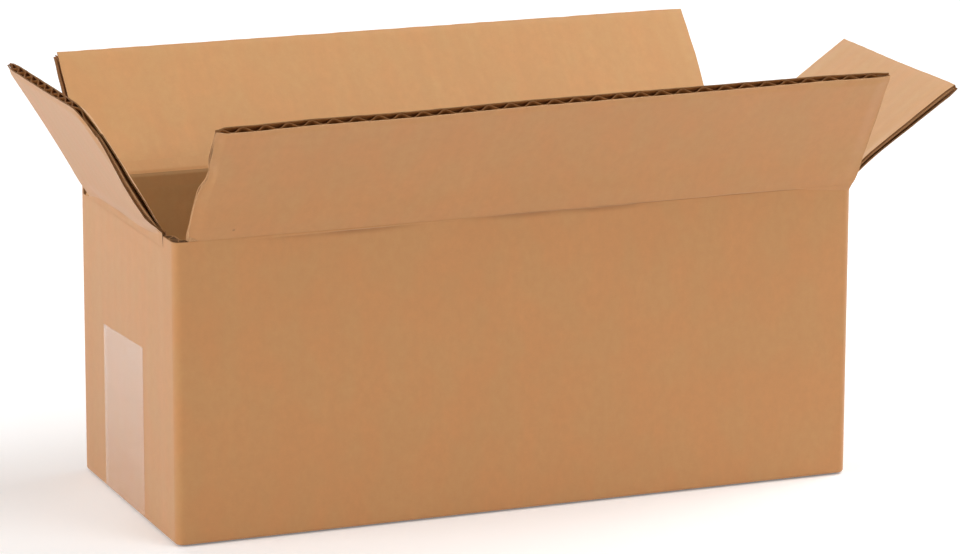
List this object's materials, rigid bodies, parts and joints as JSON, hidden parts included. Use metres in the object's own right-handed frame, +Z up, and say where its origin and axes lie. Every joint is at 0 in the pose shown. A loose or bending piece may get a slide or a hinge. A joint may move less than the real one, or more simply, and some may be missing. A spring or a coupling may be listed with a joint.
{
  "type": "cardboard box",
  "caption": "Open rectangular carton of corrugated board, taped under the bottom, with top flaps hinged on their creases to shut or fold back.",
  "frame": {"origin": "the middle of the underside, on the ground, halfway along the box and halfway through its width", "axes": "+X along the long side towards the right flap, +Y from the front wall to the back wall, +Z up"},
  "size_m": [0.3394, 0.1784, 0.158],
  "materials": {
    "kraft_board": "plain brown kraft, matt",
    "clear_tape": "clear packing tape, glossy"
  },
  "bodies": {
    "box": {"carton": "kraft_board", "bottom_tape": "clear_tape"},
    "front_flap": {"front_flap": "kraft_board"},
    "back_flap": {"back_flap": "kraft_board"},
    "left_flap": {"left_flap": "kraft_board"},
    "right_flap": {"right_flap": "kraft_board"}
  },
  "joints": [
    {"name": "front_crease", "type": "hinge", "parent": "box", "child": "front_flap", "pos_m": [0, -0.0548, 0.11], "axis": [-1, 0, 0], "range_deg": [-135, 125]},
    {"name": "back_crease", "type": "hinge", "parent": "box", "child": "back_flap", "pos_m": [0, 0.0548, 0.11], "axis": [1, 0, 0], "range_deg": [-126, 134]},
    {"name": "left_crease", "type": "hinge", "parent": "box", "child": "left_flap", "pos_m": [-0.131, 0, 0.1058], "axis": [0, 1, 0], "range_deg": [-139, 121]},
    {"name": "right_crease", "type": "hinge", "parent": "box", "child": "right_flap", "pos_m": [0.131, 0, 0.1058], "axis": [0, -1, 0], "range_deg": [-116, 144]}
  ]
}
